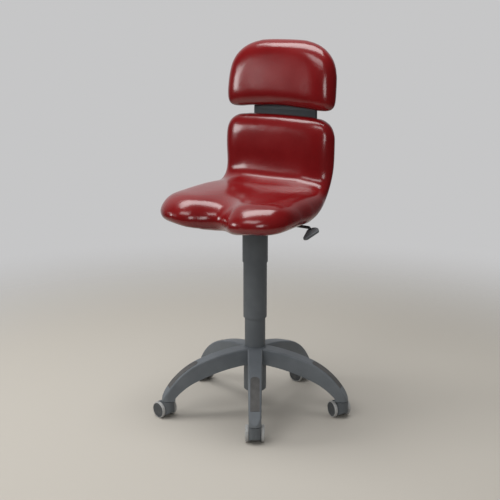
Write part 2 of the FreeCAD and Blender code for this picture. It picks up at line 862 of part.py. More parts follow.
def make_seat_plate():
    """The pressed plate under the shell, its cone socket, and the ears that carry the lever's pivot."""
    body = keep(new_body("seat_plate"), "seat_plate")
    plate = rounded_rectangle("-plate_half_width", "-plate_half_depth",
                              "plate_half_width", "plate_half_depth", "ear_half_length")
    pad(body, "XY_Plane", lambda sketch: draw_outline(sketch, plate), "plate_thickness",
        symmetric=False, offset="plate_bottom")
    socket_bottom = f"({CYLINDER_TOP} - cone_height + cone_stand)"
    turn(body, [
        ("cylinder_radius + seat_gap - cone_drop * cone_stand / cone_height", socket_bottom),
        ("socket_radius", socket_bottom),
        ("socket_radius", "plate_bottom"),
        ("cylinder_radius + seat_gap - cone_drop", "plate_bottom"),
        ("cylinder_radius + seat_gap - cone_drop", CYLINDER_TOP),
    ])
    ear = rectangle("pivot_reach - ear_half_length", "plate_bottom - ear_drop",
                    "pivot_reach + ear_half_length", "plate_bottom")
    ears_width = "2 * (slot_half_width + ear_thickness)"
    pad(body, "XZ_Plane", lambda sketch: draw_outline(sketch, ear), ears_width)
    pocket(body, "XZ_Plane", lambda sketch: draw_outline(sketch, ear), "2 * slot_half_width")
    pocket(body, "XZ_Plane",
           lambda sketch: draw_circle(sketch, "pivot_reach", LEVER_HEIGHT, "pivot_pin_radius + seat_gap"),
           f"{ears_width} + cut_margin")
    slot = rectangle("-slot_half_width", f"{CYLINDER_TOP} + cut_margin", "slot_half_width", "plate_bottom")
    pocket(body, "YZ_Plane", lambda sketch: draw_outline(sketch, slot), "socket_radius + cut_margin",
           symmetric=False, along_normal=True)

    def bolt_holes(sketch):
        for x in ("-seat_screw_x", "seat_screw_x"):
            for y in ("-seat_screw_y", "seat_screw_y"):
                draw_circle(sketch, x, y, "screw_radius + fitted_gap")

    pocket(body, "XY_Plane", bolt_holes, "plate_thickness + cut_margin", symmetric=False, offset=PLATE_TOP)


def make_lever():
    """A bent rod from the release pin to the seat's edge, its pivot pin, and the paddle at its end."""
    shaft = keep(new_body("lever_shaft"), "lever_shaft")
    path = sketch_on(shaft, "XZ_Plane")
    bend = "lever_bend_radius"
    start = Vector(value("lever_inner_end"), value(LEVER_HEIGHT), 0)
    turn_in = Vector(value("lever_bend_reach - lever_bend_radius"), value(LEVER_HEIGHT), 0)
    turn_out = Vector(value("lever_bend_reach"), value(f"{LEVER_HEIGHT} - lever_bend_radius"), 0)
    foot = Vector(value("lever_bend_reach"), value(LEVER_FOOT), 0)
    run = path.addGeometry(Part.LineSegment(start, turn_in))
    elbow = path.addGeometry(arc_between(turn_in, turn_out, -value(bend)))
    drop = path.addGeometry(Part.LineSegment(turn_out, foot))
    path.addConstraint(Sketcher.Constraint("Coincident", run, 2, elbow, 2))
    path.addConstraint(Sketcher.Constraint("Coincident", elbow, 1, drop, 1))
    pin_point(path, run, 1, "lever_inner_end", LEVER_HEIGHT)
    pin_point(path, run, 2, "lever_bend_reach - lever_bend_radius", LEVER_HEIGHT)
    pin_point(path, drop, 1, "lever_bend_reach", f"{LEVER_HEIGHT} - lever_bend_radius")
    pin_point(path, drop, 2, "lever_bend_reach", LEVER_FOOT)
    tie = path.addConstraint(Sketcher.Constraint("Radius", elbow, value(bend)))
    path.setExpression(f"Constraints[{tie}]", bound(bend))
    section = sketch_on(shaft, "YZ_Plane", offset="lever_inner_end")
    draw_circle(section, "0", LEVER_HEIGHT, "lever_radius")
    rod = shaft.newObject("PartDesign::AdditivePipe", "lever_rod")
    rod.Profile = section
    rod.Spine = (path, ["Edge1", "Edge2", "Edge3"])
    bore = "pivot_pin_radius + running_gap"
    pocket(shaft, "XZ_Plane", lambda sketch: draw_circle(sketch, "pivot_reach", LEVER_HEIGHT, bore))

    pin = keep(new_body("lever_pin"), "lever_pin")
    half = "(slot_half_width + ear_thickness)"
    turn(pin, rectangle("0", f"-{half}", "pivot_pin_radius", half))
    pin.Placement = Placement(Vector(value("pivot_reach"), 0, value(LEVER_HEIGHT)), Rotation(X_AXIS, 90))

    paddle = keep(new_body("lever_paddle"), "lever_paddle")
    pad(paddle, "XY_Plane", draw_paddle, "paddle_thickness")
    faces = value("paddle_thickness / 2")
    round_edges(paddle, "paddle_edge_round",
                lambda edge: near(edge.CenterOfMass.z, faces) and near(edge.BoundBox.ZLength, 0))
    tilt = Rotation(Y_AXIS, value("paddle_roll")).multiply(Rotation(X_AXIS, value("paddle_pitch")))
    seat = Vector(value("lever_bend_reach"), 0, value(LEVER_FOOT))
    root = tilt.multVec(Vector(-value("paddle_stem_x"), value("paddle_stem_y"), faces))
    paddle.Placement = Placement(seat - root, tilt)


def draw_paddle(sketch):
    """A teardrop: a small round tip to the front, a large round end to the rear."""
    tip_y = "-(paddle_length - paddle_end_radius - paddle_tip_radius)"
    draw_outline(sketch, [
        ("-paddle_tip_radius", tip_y, "paddle_tip_radius"),
        ("0", f"{tip_y} - paddle_tip_radius", "paddle_tip_radius"),
        ("paddle_tip_radius", tip_y),
        ("paddle_end_radius", "0", "paddle_end_radius"),
        ("0", "paddle_end_radius", "paddle_end_radius"),
        ("-paddle_end_radius", "0"),
    ])


def make_underseat_cover():
    """A shallow tray round the mechanism, with a hole for the column and a slot for the lever."""
    body = keep(new_body("underseat_cover"), "underseat_cover")
    rim = PLATE_TOP
    outside = rounded_rectangle("-pan_half_width", "-pan_front", "pan_half_width", "pan_back", "pan_corner")
    inside = rounded_rectangle("-pan_half_width + pan_wall", "-pan_front + pan_wall",
                               "pan_half_width - pan_wall", "pan_back - pan_wall", "(pan_corner - pan_wall)")
    pad(body, "XY_Plane", lambda sketch: draw_outline(sketch, outside), f"{rim} - pan_bottom",
        symmetric=False, offset="pan_bottom")
    pocket(body, "XY_Plane", lambda sketch: draw_outline(sketch, inside), f"{rim} - pan_bottom - pan_wall",
           symmetric=False, offset=rim)
    pocket(body, "XY_Plane", lambda sketch: draw_circle(sketch, "0", "0", "upper_cover_radius + moving_gap"),
           "pan_wall + cut_margin", symmetric=False, offset="pan_bottom + pan_wall")
    slot_half = "(lever_radius + lever_slot_gap)"
    slot = rectangle(f"-{slot_half}", f"{LEVER_HEIGHT} - {slot_half}", slot_half, f"{rim} + cut_margin")
    pocket(body, "YZ_Plane", lambda sketch: draw_outline(sketch, slot), "pan_half_width + cut_margin",
           symmetric=False, along_normal=True)


# Seat shell

SHELL_BOTTOM = PLATE_TOP
SHELL_REAR = "(back_rear + moving_gap)"
SHELL_FLAT_END = f"({SHELL_REAR} - shell_bend)"


def shell_outline():
    """The L-shaped side outline of the shell."""
    bend_top = f"{SHELL_BOTTOM} + shell_bend"
    inner = f"({SHELL_REAR} - shell_thickness)"
    return [
        ("-shell_front", SHELL_BOTTOM),
        (SHELL_FLAT_END, SHELL_BOTTOM, "shell_bend"),
        (SHELL_REAR, bend_top),
        (SHELL_REAR, "shell_top"),
        (inner, "shell_top"),
        (inner, bend_top, "-(shell_bend - shell_thickness)"),
        (SHELL_FLAT_END, f"{SHELL_BOTTOM} + shell_thickness"),
        ("-shell_front", f"{SHELL_BOTTOM} + shell_thickness"),
    ]


def make_seat_shell():
    body = keep(new_body("seat_shell"), "seat_shell")
    pad(body, "YZ_Plane", lambda sketch: draw_outline(sketch, shell_outline()), "2 * shell_half_width")
    side = value("shell_half_width")
    round_edges(body, "shell_corner", lambda edge: near(abs(edge.CenterOfMass.x), side)
                and near(edge.Length, value("shell_thickness")))

    def plate_holes(sketch):
        for x in ("-seat_screw_x", "seat_screw_x"):
            for y in ("-seat_screw_y", "seat_screw_y"):
                draw_circle(sketch, x, y, "screw_radius + seat_gap")

    def bar_holes(sketch):
        for x in ("-bar_screw_x", "bar_screw_x"):
            for z in ("bar_screw_low", "bar_screw_high"):
                draw_circle(sketch, x, z, "screw_radius + seat_gap")

    pocket(body, "XY_Plane", plate_holes, "screw_bite + hole_tip", symmetric=False,
           offset=SHELL_BOTTOM, along_normal=True)
    pocket(body, "XZ_Plane", bar_holes, "screw_bite + hole_tip", symmetric=False,
           offset=f"-{SHELL_REAR}", along_normal=True)


# Cushions: lofts along X through side sections of lines and arcs

FLANK_POWER = 5
INNER_STATIONS = 6
SIDE_SHARES = (0.62, 0.28)
TAN_EIGHTH_TURN = math.tan(math.pi / 8)

def arc_through(at, start, end, bulge):
    """An arc in the section's plane that leaves the chord by a bulge to the right of its way."""
    chord = end - start
    right = Vector(0, chord.z, -chord.y).normalize()
    middle = (start + end) * 0.5 + right * bulge
    return Part.Arc(start, at(middle.y, middle.z), end).toShape()


def quarter(start, end, corner):
    """A round corner between two points whose tangents meet at the corner point."""
    middle = (start + end) * 0.5
    return Part.Arc(start, middle + (corner - middle) * TAN_EIGHTH_TURN, end).toShape()


def straight(start, end):
    return Part.LineSegment(start, end).toShape()


def draw_in(distance, radius):
    """How far a round edge falls back, at a distance from the edge's outer limit."""
    if distance >= radius:
        return 0.0
    return radius - math.sqrt(radius ** 2 - (radius - distance) ** 2)


def swell(x, half_width):
    """One on the middle plane, falling smoothly to zero at the half width."""
    if abs(x) >= half_width:
        return 0.0
    return (1 + math.cos(math.pi * x / half_width)) / 2


def flank(x, half_width):
    """Zero over the middle, rising to one at the outer limit of a cushion."""
    return (abs(x) / half_width) ** FLANK_POWER


def edge_drop(name, side):
    """The depth of a rounded upper edge, which shrinks where the side draws in."""
    keep_share = value("edge_keep")
    full = 1 - side / value("side_round")
    return value(name) * (keep_share + (1 - keep_share) * full)


def between(low, high, share):
    return low + (high - low) * share


def seat_section(x):
    """The closed side outline of the seat and lower back, at a distance from the middle plane."""
    half = value("half_width")
    edge = half - abs(x)
    side = draw_in(edge, value("side_round"))
    notch = swell(x, value("notch_half_width"))
    dish = value("seat_dish") * swell(x, value("dish_half_width"))
    rear = value("back_rear") - side * value("side_rear_share")
    face = value("back_face") + side * value("side_face_share")
    arch = value("back_arch") * (x / half) ** 2
    top = value("back_top") - arch - draw_in(edge, value("back_corner"))
    belly = value("seat_belly") * swell(x, value("belly_half_width"))
    floor = value("seat_bottom") - belly + side * value("side_floor_share")
    nose_y = -value("lobe_front") + value("notch_depth") * notch + draw_in(edge, value("lobe_corner"))
    under = between(value("lobe_under"), value("notch_under"), notch)
    fall = between(value("fall_length"), value("notch_fall_length"), notch)
    crown = between(value("fall_crown"), value("notch_fall_crown"), notch)
    seat_rear_z = value("seat_rear_height") - dish * value("dish_rear_share") - side
    fall_z = value("fall_top_height") - dish / 2 - side
    nose_z = between(floor, fall_z, between(value("lobe_nose_share"), value("notch_nose_share"), notch))

    def at(y, z):
        ahead = (value("back_rear") - y) / value("back_rear + lobe_front")
        return Vector(x * (1 + value("seat_flare") * ahead), y, z)

    underside = at(nose_y + under, floor)
    bend_start = at(value("seat_bend_start") - value("flank_bend_run") * flank(x, half), floor)
    bend_end = at(rear, value("seat_bend_end") + value("flank_bend_rise") * flank(x, half))
    rear_top = at(rear, top - edge_drop("back_edge_rear", side))
    crest = at(between(rear, face, value("crest_share")), top)
    face_top = at(face, top - edge_drop("back_edge", side))
    crease_top = at(face, value("crease_height") + side)
    crease_front = at(value("crease_front") - side, seat_rear_z)
    fall_top = at(nose_y + fall, fall_z)
    nose = at(nose_y, nose_z)
    return Part.Wire([
        straight(underside, bend_start),
        quarter(bend_start, bend_end, at(rear, floor)),
        straight(bend_end, rear_top),
        quarter(rear_top, crest, at(rear, top)),
        quarter(crest, face_top, at(face, top)),
        arc_through(at, face_top, crease_top, value("face_crown")),
        quarter(crease_top, crease_front, at(face, seat_rear_z)),
        arc_through(at, crease_front, fall_top, value("seat_crown")),
        arc_through(at, fall_top, nose, crown),
        quarter(nose, underside, at(nose_y, floor)),
    ])


def pad_section(x):
    """The closed side outline of the upper back pad before it leans back."""
    half = value("pad_half_width")
    edge = half - abs(x)
    side = draw_in(edge, value("side_round"))
    rear = value("back_rear") - side * value("side_rear_share")
    face = value("back_face - pad_face_step") + side * value("side_face_share")
    shoulder = value("pad_shoulder")
    rise = (1 - (abs(x) / half) ** shoulder) ** (1 / shoulder)
    top = between(value("pad_waist"), value("pad_top"), rise)
    bottom = value("pad_bottom") + value("pad_arch") * swell(x, half) + draw_in(edge, value("pad_corner"))
    low = edge_drop("pad_edge_low", side)
    keel = between(rear, face, 0.5)
    crest = between(rear, face, value("crest_share"))

    def at(y, z):
        return Vector(x, y, z)

    rear_low = at(rear, bottom + low)
    rear_top = at(rear, top - edge_drop("pad_edge_rear", side))
    face_top = at(face, top - edge_drop("pad_edge", side))
    face_low = at(face, bottom + low)
    return Part.Wire([
        straight(rear_low, rear_top),
        quarter(rear_top, at(crest, top), at(rear, top)),
        quarter(at(crest, top), face_top, at(face, top)),
        arc_through(at, face_top, face_low, value("face_crown")),
        quarter(face_low, at(keel, bottom), at(face, bottom)),
        quarter(at(keel, bottom), rear_low, at(rear, bottom)),
    ])


def loft(section, half_width):
    """A solid through sections on both sides of the middle plane, closer together at the rounded sides."""
    round_start = half_width - value("side_round")
    inner = [round_start * number / INNER_STATIONS for number in range(INNER_STATIONS + 1)]
    outer = [half_width - value("side_round") * share for share in SIDE_SHARES]
    stations = inner + outer + [half_width - value("edge_margin")]
    places = sorted({sign * station for station in stations for sign in (-1, 1)})
    return Part.makeLoft([section(x) for x in places], True, False)


def prism(corners, half_width):
    """A block with a side outline in Y and Z, to both sides of the middle plane."""
    points = [Vector(-half_width, y, z) for y, z in corners]
    face = Part.Face(Part.makePolygon(points + points[:1]))
    return face.extrude(Vector(2 * half_width, 0, 0))


def make_seat_cushion():
    """The one-piece seat and lower back, hollowed behind for the shell and below for the mechanism."""
    cushion = loft(seat_section, value("half_width"))
    gap = value("moving_gap")
    inner_floor = value(f"{SHELL_BOTTOM} + shell_thickness") + gap
    inner_rear = value(f"{SHELL_REAR} - shell_thickness") - gap
    bend = value("shell_bend - shell_thickness") - gap
    flat_end = value(SHELL_FLAT_END)
    front = -value("shell_front") - gap
    low = value("pan_bottom - pan_wall")
    far = value("back_rear + bar_thickness")
    high = value("shell_top") + gap

    def at(y, z):
        return Vector(-value("shell_half_width") - gap, y, z)

    hollow = Part.Face(Part.Wire([
        straight(at(front, low), at(front, inner_floor)),
        straight(at(front, inner_floor), at(flat_end, inner_floor)),
        quarter(at(flat_end, inner_floor), at(inner_rear, inner_floor + bend), at(inner_rear, inner_floor)),
        straight(at(inner_rear, inner_floor + bend), at(inner_rear, high)),
        straight(at(inner_rear, high), at(far, high)),
        straight(at(far, high), at(far, low)),
        straight(at(far, low), at(front, low)),
    ])).extrude(Vector(2 * (value("shell_half_width") + gap), 0, 0))
    feature = doc.addObject("Part::Feature", "seat_cushion")
    feature.Shape = cushion.cut(hollow)
    keep(feature, "seat_cushion")


BOARD_BOTTOM = "(pad_bottom + pad_arch + board_margin)"
BOARD_TOP = "(pad_top - 2 * board_margin)"


def leaning():
    """The turn that leans the upper pad and its carrier back, about the foot of the pad's rear face."""
    foot = Vector(0, value("back_rear"), value("pad_bottom"))
    return Placement(Vector(), Rotation(X_AXIS, -value("back_lean")), foot)


def make_upper_pad():
    """The upper back pad, hollowed behind for the carrier's board."""
    cushion = loft(pad_section, value("pad_half_width"))
    gap = value("moving_gap")
    front = value("back_rear - board_thickness") - gap
    behind = value("back_rear + board_thickness")
    low = value(BOARD_BOTTOM) - gap
    high = value(BOARD_TOP) + gap
    corners = [(front, low), (behind, low), (behind, high), (front, high)]
    hollow = prism(corners, value("board_half_width") + gap)
    feature = doc.addObject("Part::Feature", "upper_pad")
    feature.Shape = cushion.cut(hollow)
    feature.Placement = leaning()
    keep(feature, "upper_pad")


# Back bar and the carrier that slides on it

BAR_REAR = "(back_rear + moving_gap + bar_thickness)"


def bar_bend(gap):
    """Where a line of the bar at a gap behind the cushions turns from upright to the pad's lean."""
    return f"back_rear + {gap}", f"pad_bottom - {gap} * tan(back_lean / 2)"


def bar_end(gap):
    """The upper end of such a line."""
    rise = "(bar_top - pad_bottom)"
    return (f"back_rear + {gap} * cos(back_lean) + {rise} * sin(back_lean)",
            f"pad_bottom - {gap} * sin(back_lean) + {rise} * cos(back_lean)")


def make_back_bar():
    """The flat steel bar behind the cushions, bent back where the upper pad starts."""
    body = keep(new_body("back_bar"), "back_bar")
    front = "moving_gap"
    rear = "(moving_gap + bar_thickness)"
    side = [
        (f"back_rear + {front}", "bar_bottom"),
        (f"back_rear + {rear}", "bar_bottom"),
        bar_bend(rear),
        bar_end(rear),
        bar_end(front),
        bar_bend(front),
    ]
    pad(body, "YZ_Plane", lambda sketch: draw_outline(sketch, side), "2 * bar_half_width")
    thickness = value("bar_thickness")
    round_edges(body, "bar_corner", lambda edge: near(abs(edge.CenterOfMass.x), value("bar_half_width"))
                and near(edge.Length, thickness))

    def bar_holes(sketch):
        for x in ("-bar_screw_x", "bar_screw_x"):
            for z in ("bar_screw_low", "bar_screw_high"):
                draw_circle(sketch, x, z, "screw_radius + fitted_gap")

    pocket(body, "XZ_Plane", bar_holes, "bar_thickness + cut_margin", symmetric=False,
           offset=f"-{BAR_REAR}", along_normal=True)


def make_back_carrier():
    """The board in the upper pad, with a channel behind it that wraps the bar."""
    body = keep(new_body("back_carrier"), "back_carrier")
    board = rounded_rectangle("-board_half_width", BOARD_BOTTOM, "board_half_width", BOARD_TOP, "bar_corner")
    pad(body, "XZ_Plane", lambda sketch: draw_outline(sketch, board), "board_thickness",
        symmetric=False, offset="-back_rear")
    track = "(bar_half_width + moving_gap)"
    outside = f"({track} + carrier_rail)"
    back = f"({BAR_REAR} + moving_gap + carrier_back)"
    channel = rectangle(f"-{outside}", "back_rear", outside, back)
    pad(body, "XY_Plane", lambda sketch: draw_outline(sketch, channel), "carrier_top - carrier_bottom",
        symmetric=False, offset="carrier_bottom")
    way = rectangle(f"-{track}", "back_rear", track, f"{BAR_REAR} + moving_gap")
    pocket(body, "XY_Plane", lambda sketch: draw_outline(sketch, way), "carrier_top - carrier_bottom",
           symmetric=False, offset="carrier_bottom", along_normal=True)
    rear = value(back)
    round_edges(body, "carrier_back",
                lambda edge: runs_along(edge, Z_AXIS) and near(edge.CenterOfMass.y, rear))
    body.Placement = leaning()


# Screws

def make_screw(label, length):
    """A cap screw with its head below the origin."""
    body = new_body(label)
    turn(body, [
        ("0", "-screw_head"),
        ("screw_head_radius", "-screw_head"),
        ("screw_head_radius", "0"),
        ("screw_radius", "0"),
        ("screw_radius", length),
        ("0", length),
    ])
    return body


def make_screws():
    """Alike screws: four through the plate and four through the bar, all into the shell."""
    screw = make_screw("screw", "(plate_thickness + screw_bite)")
    long_screw = make_screw("long_screw", "(bar_thickness + screw_bite)")
    doc.recompute()
    under_plate = []
    behind_bar = []
    for sign in (-1, 1):
        for y in ("-seat_screw_y", "seat_screw_y"):
            point = Vector(sign * value("seat_screw_x"), value(y), value("plate_bottom"))
            under_plate.append(Placement(point, Rotation()))
        for z in ("bar_screw_low", "bar_screw_high"):
            point = Vector(sign * value("bar_screw_x"), value(BAR_REAR), value(z))
            behind_bar.append(Placement(point, Rotation(X_AXIS, 90)))
    copies("seat_screws", screw, under_plate)
    copies("bar_screws", long_screw, behind_bar)


make_star_base()
for caster in range(int(value("arm_count"))):
    make_caster(caster)
make_gas_lift()
make_covers()
make_seat_plate()
make_lever()
make_underseat_cover()
make_seat_shell()
make_seat_cushion()
make_upper_pad()
make_back_bar()
make_back_carrier()
make_screws()
doc.recompute()

for item in doc.Objects:
    if "Invalid" in item.State or "Error" in item.State:
        raise RuntimeError(f"{item.Label} failed: {item.State}")
for item in subparts:
    if item.Shape.isNull() or not item.Shape.isValid():
        raise RuntimeError(f"{item.Label} has no valid shape")

os.makedirs("parts", exist_ok=True)
for item in subparts:
    item.Shape.exportStep(f"parts/{item.Label}.step")
print(len(subparts), "sub-parts written")
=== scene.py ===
import json
import math

import bmesh
import bpy
import numpy as np
from mathutils import Matrix, Vector
from mathutils.bvhtree import BVHTree


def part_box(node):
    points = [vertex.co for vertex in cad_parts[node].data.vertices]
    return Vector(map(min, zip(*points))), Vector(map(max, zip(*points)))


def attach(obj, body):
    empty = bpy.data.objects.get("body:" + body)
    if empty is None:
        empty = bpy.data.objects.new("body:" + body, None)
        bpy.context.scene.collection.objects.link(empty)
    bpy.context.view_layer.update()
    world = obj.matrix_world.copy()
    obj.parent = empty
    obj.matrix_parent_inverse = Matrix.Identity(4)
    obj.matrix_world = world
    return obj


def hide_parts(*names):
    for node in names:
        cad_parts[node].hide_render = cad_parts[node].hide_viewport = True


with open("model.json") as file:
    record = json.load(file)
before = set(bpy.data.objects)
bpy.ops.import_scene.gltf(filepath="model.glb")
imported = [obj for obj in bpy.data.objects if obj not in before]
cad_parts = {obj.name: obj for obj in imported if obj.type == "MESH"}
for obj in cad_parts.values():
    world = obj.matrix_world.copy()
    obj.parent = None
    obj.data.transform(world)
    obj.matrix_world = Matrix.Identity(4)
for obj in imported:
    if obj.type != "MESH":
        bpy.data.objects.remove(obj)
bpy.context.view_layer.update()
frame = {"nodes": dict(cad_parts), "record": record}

# Camera: where the photograph was taken from, with its own lengths in pixels
PHOTO_WIDTH = 500
PHOTO_FOCUS = 994
PHOTO_SHIFT = 5.3
SENSOR_WIDTH = 36
VIEW_TURN = math.radians(36.0)
VIEW_DIP = math.radians(13.574)
VIEW_SIDEWAYS = math.atan(PHOTO_SHIFT / PHOTO_FOCUS)
VIEW_DISTANCE = 2.94
VIEW_HEIGHT = 1.217

# Room: brightness and colour of what surrounds the stool
BACKDROP_COLOUR = (0.565, 0.565, 0.57, 1)
BACKDROP_RISE = 0.35
BACKDROP_EDGES = (0.35, 0.95)
EVEN_LIGHT_EDGES = (-0.1, 0.5)
EVEN_LIGHT_BELOW = 0.06
EVEN_LIGHT_ABOVE = 0.40
MIRRORED_ROOM = 0.03
LAMPS_AIM = (0.0, 0.0, 0.75)
FLOOR_RADIUS = 2.6
FLOOR_SEGMENTS = 96
FLOOR_FADE = (0.9, 2.4)
FLOOR_COLOUR = (0.50, 0.47, 0.42, 1)

# Finishes: the two colours that each one clouds between
SHADES = {
    "leatherette": ((0.168, 0.0040, 0.0052), (0.204, 0.0066, 0.0080)),
    "slate_plastic": ((0.096, 0.108, 0.119), (0.117, 0.130, 0.142)),
    # The base's shades are the slate plastic made paler: painted light from the front, which falls on the
    # low parts.
    "base_plastic_painted_lit": ((0.129, 0.145, 0.160), (0.156, 0.173, 0.190)),
    "insert_rubber": ((0.084, 0.082, 0.080), (0.122, 0.119, 0.116)),
    "wheel_plastic": ((0.062, 0.068, 0.074), (0.110, 0.112, 0.112)),
    "tyre_rubber": ((0.40, 0.405, 0.40), (0.235, 0.225, 0.21)),
    "black_steel": ((0.010, 0.0105, 0.011), (0.016, 0.0165, 0.017)),
    "slate_steel": ((0.040, 0.050, 0.059), (0.050, 0.061, 0.070)),
    "plain_steel": ((0.46, 0.46, 0.45), (0.62, 0.62, 0.61)),
    "guide_plastic": ((0.66, 0.65, 0.60), (0.74, 0.73, 0.69)),
    "buffer_rubber": ((0.016, 0.016, 0.016), (0.03, 0.03, 0.03)),
    "shell_plastic": ((0.024, 0.026, 0.029), (0.036, 0.038, 0.041)),
    "paddle_plastic": ((0.112, 0.123, 0.132), (0.138, 0.149, 0.158)),
}

# Mix node: the sockets for colours, whose names repeat
MIX_FACTOR = 0
MIX_FIRST = 6
MIX_SECOND = 7
MIX_RESULT = 2

# Cushions: mesh grain, slack, filling and pattern of their covers
JOIN_WITHIN = 1e-5
SKIN_VOXEL = 0.0053
SKIN_SLACK = 0.004
SKIN_SUBDIVISIONS = 1
RELAX_ROUNDS = 70
RELAX_STEP = 0.5
FILLING_QUALITY = 4
FILLING_PRESSURE = 4.0
FILLING_FRAMES = 20
FILLING_CAP = 0.006
FILLING_ROUNDS = 40
PATTERN_REACH = 0.012
PATTERN_ROUNDS = 120

# Cushions: where hard pieces hold them, and the gap they keep from a piece that passes
HELD_NEAR = 0.003
FREE_FROM = 0.022
CLEAR_GAP = 0.0025
CLEAR_REACH = 0.010

# Joints: the two ends of a range
RANGE_START = 0
RANGE_END = 1

# Fold between the seat and the lower back: its place in depth and height, and how far it is eased
CREASE_PLACE = (0.085, 0.725)
CREASE_CORE = 0.030
CREASE_REACH = 0.085
CREASE_MIDDLE = 0.100
CREASE_SIDE = 0.175
CREASE_ROUNDS = 160

# Seat: its outline, and the front as it was packed and as the cover has it
SEAT_FRONT = -0.244
SEAT_REAR = 0.150
SEAT_HALF_WIDTH = 0.197
SEAT_SIDE_ROUND = 0.045
SEAT_FALL = 0.084
SEAT_TOP = 0.691
SEAT_DISH = 0.006
SEAT_DISH_HALF_WIDTH = 0.125
SEAT_FLOOR = 0.611
SEAT_BELLY = 0.025
SEAT_BELLY_HALF_WIDTH = 0.130
SEAT_FLOOR_ROUND = 0.5
LOWEST_SHARE = 0.001
SPLIT_ROOT = 0.030
PACKED_FRONT = {"depth": 0.122, "half_width": 0.094, "corner": 0.092, "flare": 0.14, "noses": (0.48, 0.16)}
COVER_FRONT = {"depth": 0.058, "half_width": 0.086, "corner": 0.106, "flare": 0.185, "noses": (0.36, 0.34)}

# Caps on the arms' ends: the circle of the arms' outer bend, and the caps' place on it
CASTER_COUNT = 5
BEND_REACH = 0.107
BEND_HEIGHT = -0.028
BEND_RADIUS = 0.211
CAP_REACH = (0.2838, 0.2861)
CAP_STEPS = 4
CAP_TOP = 0.00012
CAP_UNDERSIDE = 0.00003
CAP_HALF_WIDTH = 0.0042


class Wire:
    """One socket of a material's nodes. Arithmetic on it adds Math nodes."""

    def __init__(self, tree, socket):
        self.tree = tree
        self.socket = socket

    def node(self, kind, settings=None, inputs=None, output=0):
        """Any other node: its settings first, then values or links for its sockets."""
        made = self.tree.nodes.new(kind)
        for key, value in (settings or {}).items():
            setattr(made, key, value)
        for key, value in (inputs or {}).items():
            self.feed(made.inputs[key], value)
        return Wire(self.tree, made.outputs[output])

    def feed(self, socket, value):
        """Links a wire to a socket, or sets a plain value on it."""
        if isinstance(value, Wire):
            self.tree.links.new(value.socket, socket)
        else:
            socket.default_value = value

    def math(self, operation, first, second):
        return self.node("ShaderNodeMath", {"operation": operation}, {0: first, 1: second})

    def __add__(self, other):
        return self.math("ADD", self, other)

    def __radd__(self, other):
        return self.math("ADD", other, self)

    def __mul__(self, other):
        return self.math("MULTIPLY", self, other)

    def length(self):
        """The length of this vector."""
        return self.node("ShaderNodeVectorMath", {"operation": "LENGTH"}, {0: self}, "Value")

    def along(self, direction):
        """How far this vector points in a direction."""
        settings = {"operation": "DOT_PRODUCT"}
        return self.node("ShaderNodeVectorMath", settings, {0: self, 1: direction}, "Value")

    def between(self, low, high):
        """0 below low, 1 above high, smooth between them."""
        settings = {"interpolation_type": "SMOOTHSTEP"}
        return self.node("ShaderNodeMapRange", settings, {"Value": self, "From Min": low, "From Max": high})

    def mixed(self, first, second):
        """A colour from first to second by this factor."""
        settings = {"data_type": "RGBA", "clamp_factor": True}
        inputs = {MIX_FACTOR: self, MIX_FIRST: first, MIX_SECOND: second}
        return self.node("ShaderNodeMix", settings, inputs, MIX_RESULT)


class Finish:
    """A material with its shader, its place on the piece, and a few common patterns."""

    def __init__(self, name, **sockets):
        self.name = name
        self.material = bpy.data.materials.new(name)
        self.material.use_nodes = True
        self.tree = self.material.node_tree
        self.shader = self.tree.nodes["Principled BSDF"]
        self.start = Wire(self.tree, None)
        self.place = self.start.node("ShaderNodeTexCoord", output="Object")
        for key, value in sockets.items():
            self.set(key.replace("_", " "), value)

    def set(self, socket, value):
        """A value or a wire for one of the shader's sockets."""
        self.start.feed(self.shader.inputs[socket], value)

    def tint(self, factor):
        """The finish's first colour at 0 and its second at 1."""
        first, second = SHADES[self.name]
        self.set("Base Color", factor.mixed((*first, 1), (*second, 1)))

    def noise(self, size, detail, roughness=0.5, stretch=None):
        """Cloudy noise with features of about this size in metres."""
        place = self.place
        if stretch:
            place = self.start.node("ShaderNodeMapping", None, {"Vector": place, "Scale": stretch})
        inputs = {"Vector": place, "Scale": 1 / size, "Detail": detail, "Roughness": roughness}
        return self.start.node("ShaderNodeTexNoise", None, inputs)

    def cells(self, size):
        """Distance to the nearest cell point, for pebbled grain."""
        return self.start.node("ShaderNodeTexVoronoi", None, {"Vector": self.place, "Scale": 1 / size})

    def bump(self, height, depth):
        """Relief of this depth in metres."""
        inputs = {"Height": height, "Distance": depth, "Strength": 1.0}
        self.set("Normal", self.start.node("ShaderNodeBump", None, inputs))


def grey(value):
    """A grey of this brightness."""
    return (value, value, value, 1.0)


def leatherette():
    """Burgundy coated cloth: smooth, glossy, with a fine pebbled grain and faint rubbed patches."""
    finish = Finish("leatherette", Specular_IOR_Level=0.5, Coat_Weight=0.3, Coat_Roughness=0.10)
    cloud = finish.noise(size=0.09, detail=4.0)
    speck = finish.noise(size=0.004, detail=2.0)
    pebble = finish.cells(size=0.0013)
    wave = finish.noise(size=0.03, detail=2.0)
    finish.tint((cloud * 0.7 + speck * 0.3).between(0.3, 0.7))
    finish.set("Roughness", 0.17 + cloud * 0.06 + speck * 0.03)
    finish.bump(pebble * 0.4 + wave * 1.5, depth=0.00010)
    return finish.material


def slate_plastic(name):
    """Slate grey nylon moulding with a fine spark texture, paler where it is rubbed."""
    finish = Finish(name, Specular_IOR_Level=0.45)
    cloud = finish.noise(size=0.06, detail=4.0)
    grain = finish.noise(size=0.0009, detail=2.0)
    finish.tint(cloud.between(0.3, 0.75))
    finish.set("Roughness", 0.40 + cloud * 0.10 + grain * 0.06)
    finish.bump(grain, depth=0.00012)
    return finish.material


